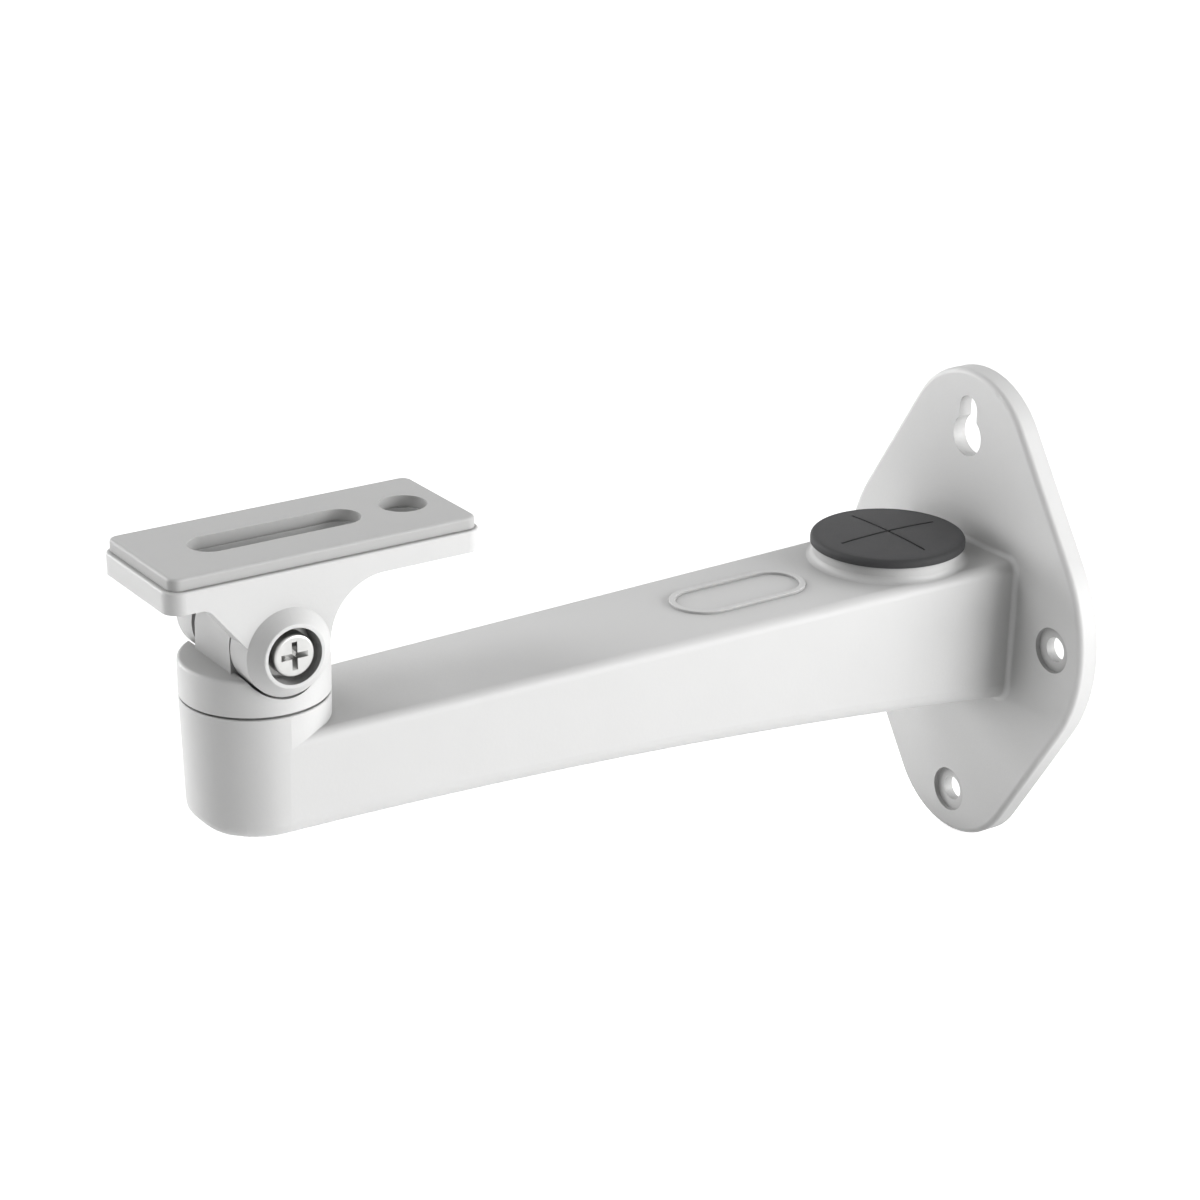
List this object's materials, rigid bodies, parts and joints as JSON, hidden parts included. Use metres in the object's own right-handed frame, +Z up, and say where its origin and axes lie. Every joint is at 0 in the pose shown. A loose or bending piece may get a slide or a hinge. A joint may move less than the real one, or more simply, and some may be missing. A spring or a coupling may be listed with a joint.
{
  "type": "camera wall bracket",
  "caption": "Cast wall bracket for a camera: hollow tapered arm on a rounded wall plate, cable grommet, panning head and tilting platform with a rubber pad.",
  "frame": {"origin": "middle of the wall plate's back face, on the wall", "axes": "+Y into the wall, so the arm reaches out along -Y; +Z up; +X to the right when facing the wall"},
  "size_m": [0.0702, 0.1768, 0.095],
  "materials": {
    "white_paint": "satin powder coat",
    "dark_rubber": "matte",
    "grey_rubber": "matte",
    "zinc_steel": "bright zinc plate"
  },
  "bodies": {
    "wall_arm": {"arm_casting": "white_paint", "cable_grommet": "dark_rubber"},
    "swivel": {"pan_swivel": "white_paint", "pan_bolt": "zinc_steel", "pan_spring_washer": "zinc_steel", "pan_flat_washer": "zinc_steel"},
    "platform": {"camera_platform": "white_paint", "platform_pad": "grey_rubber", "tilt_bolt": "zinc_steel", "tilt_spring_washer": "zinc_steel", "tilt_flat_washer": "zinc_steel", "tilt_nut": "zinc_steel"}
  },
  "joints": [
    {"name": "pan", "type": "hinge", "parent": "wall_arm", "child": "swivel", "pos_m": [0, -0.156, 0.0171], "axis": [0, 0, 1], "continuous": true},
    {"name": "tilt", "type": "hinge", "parent": "swivel", "child": "platform", "pos_m": [0, -0.156, 0.0284], "axis": [1, 0, 0], "range_deg": [-35, 45]}
  ]
}
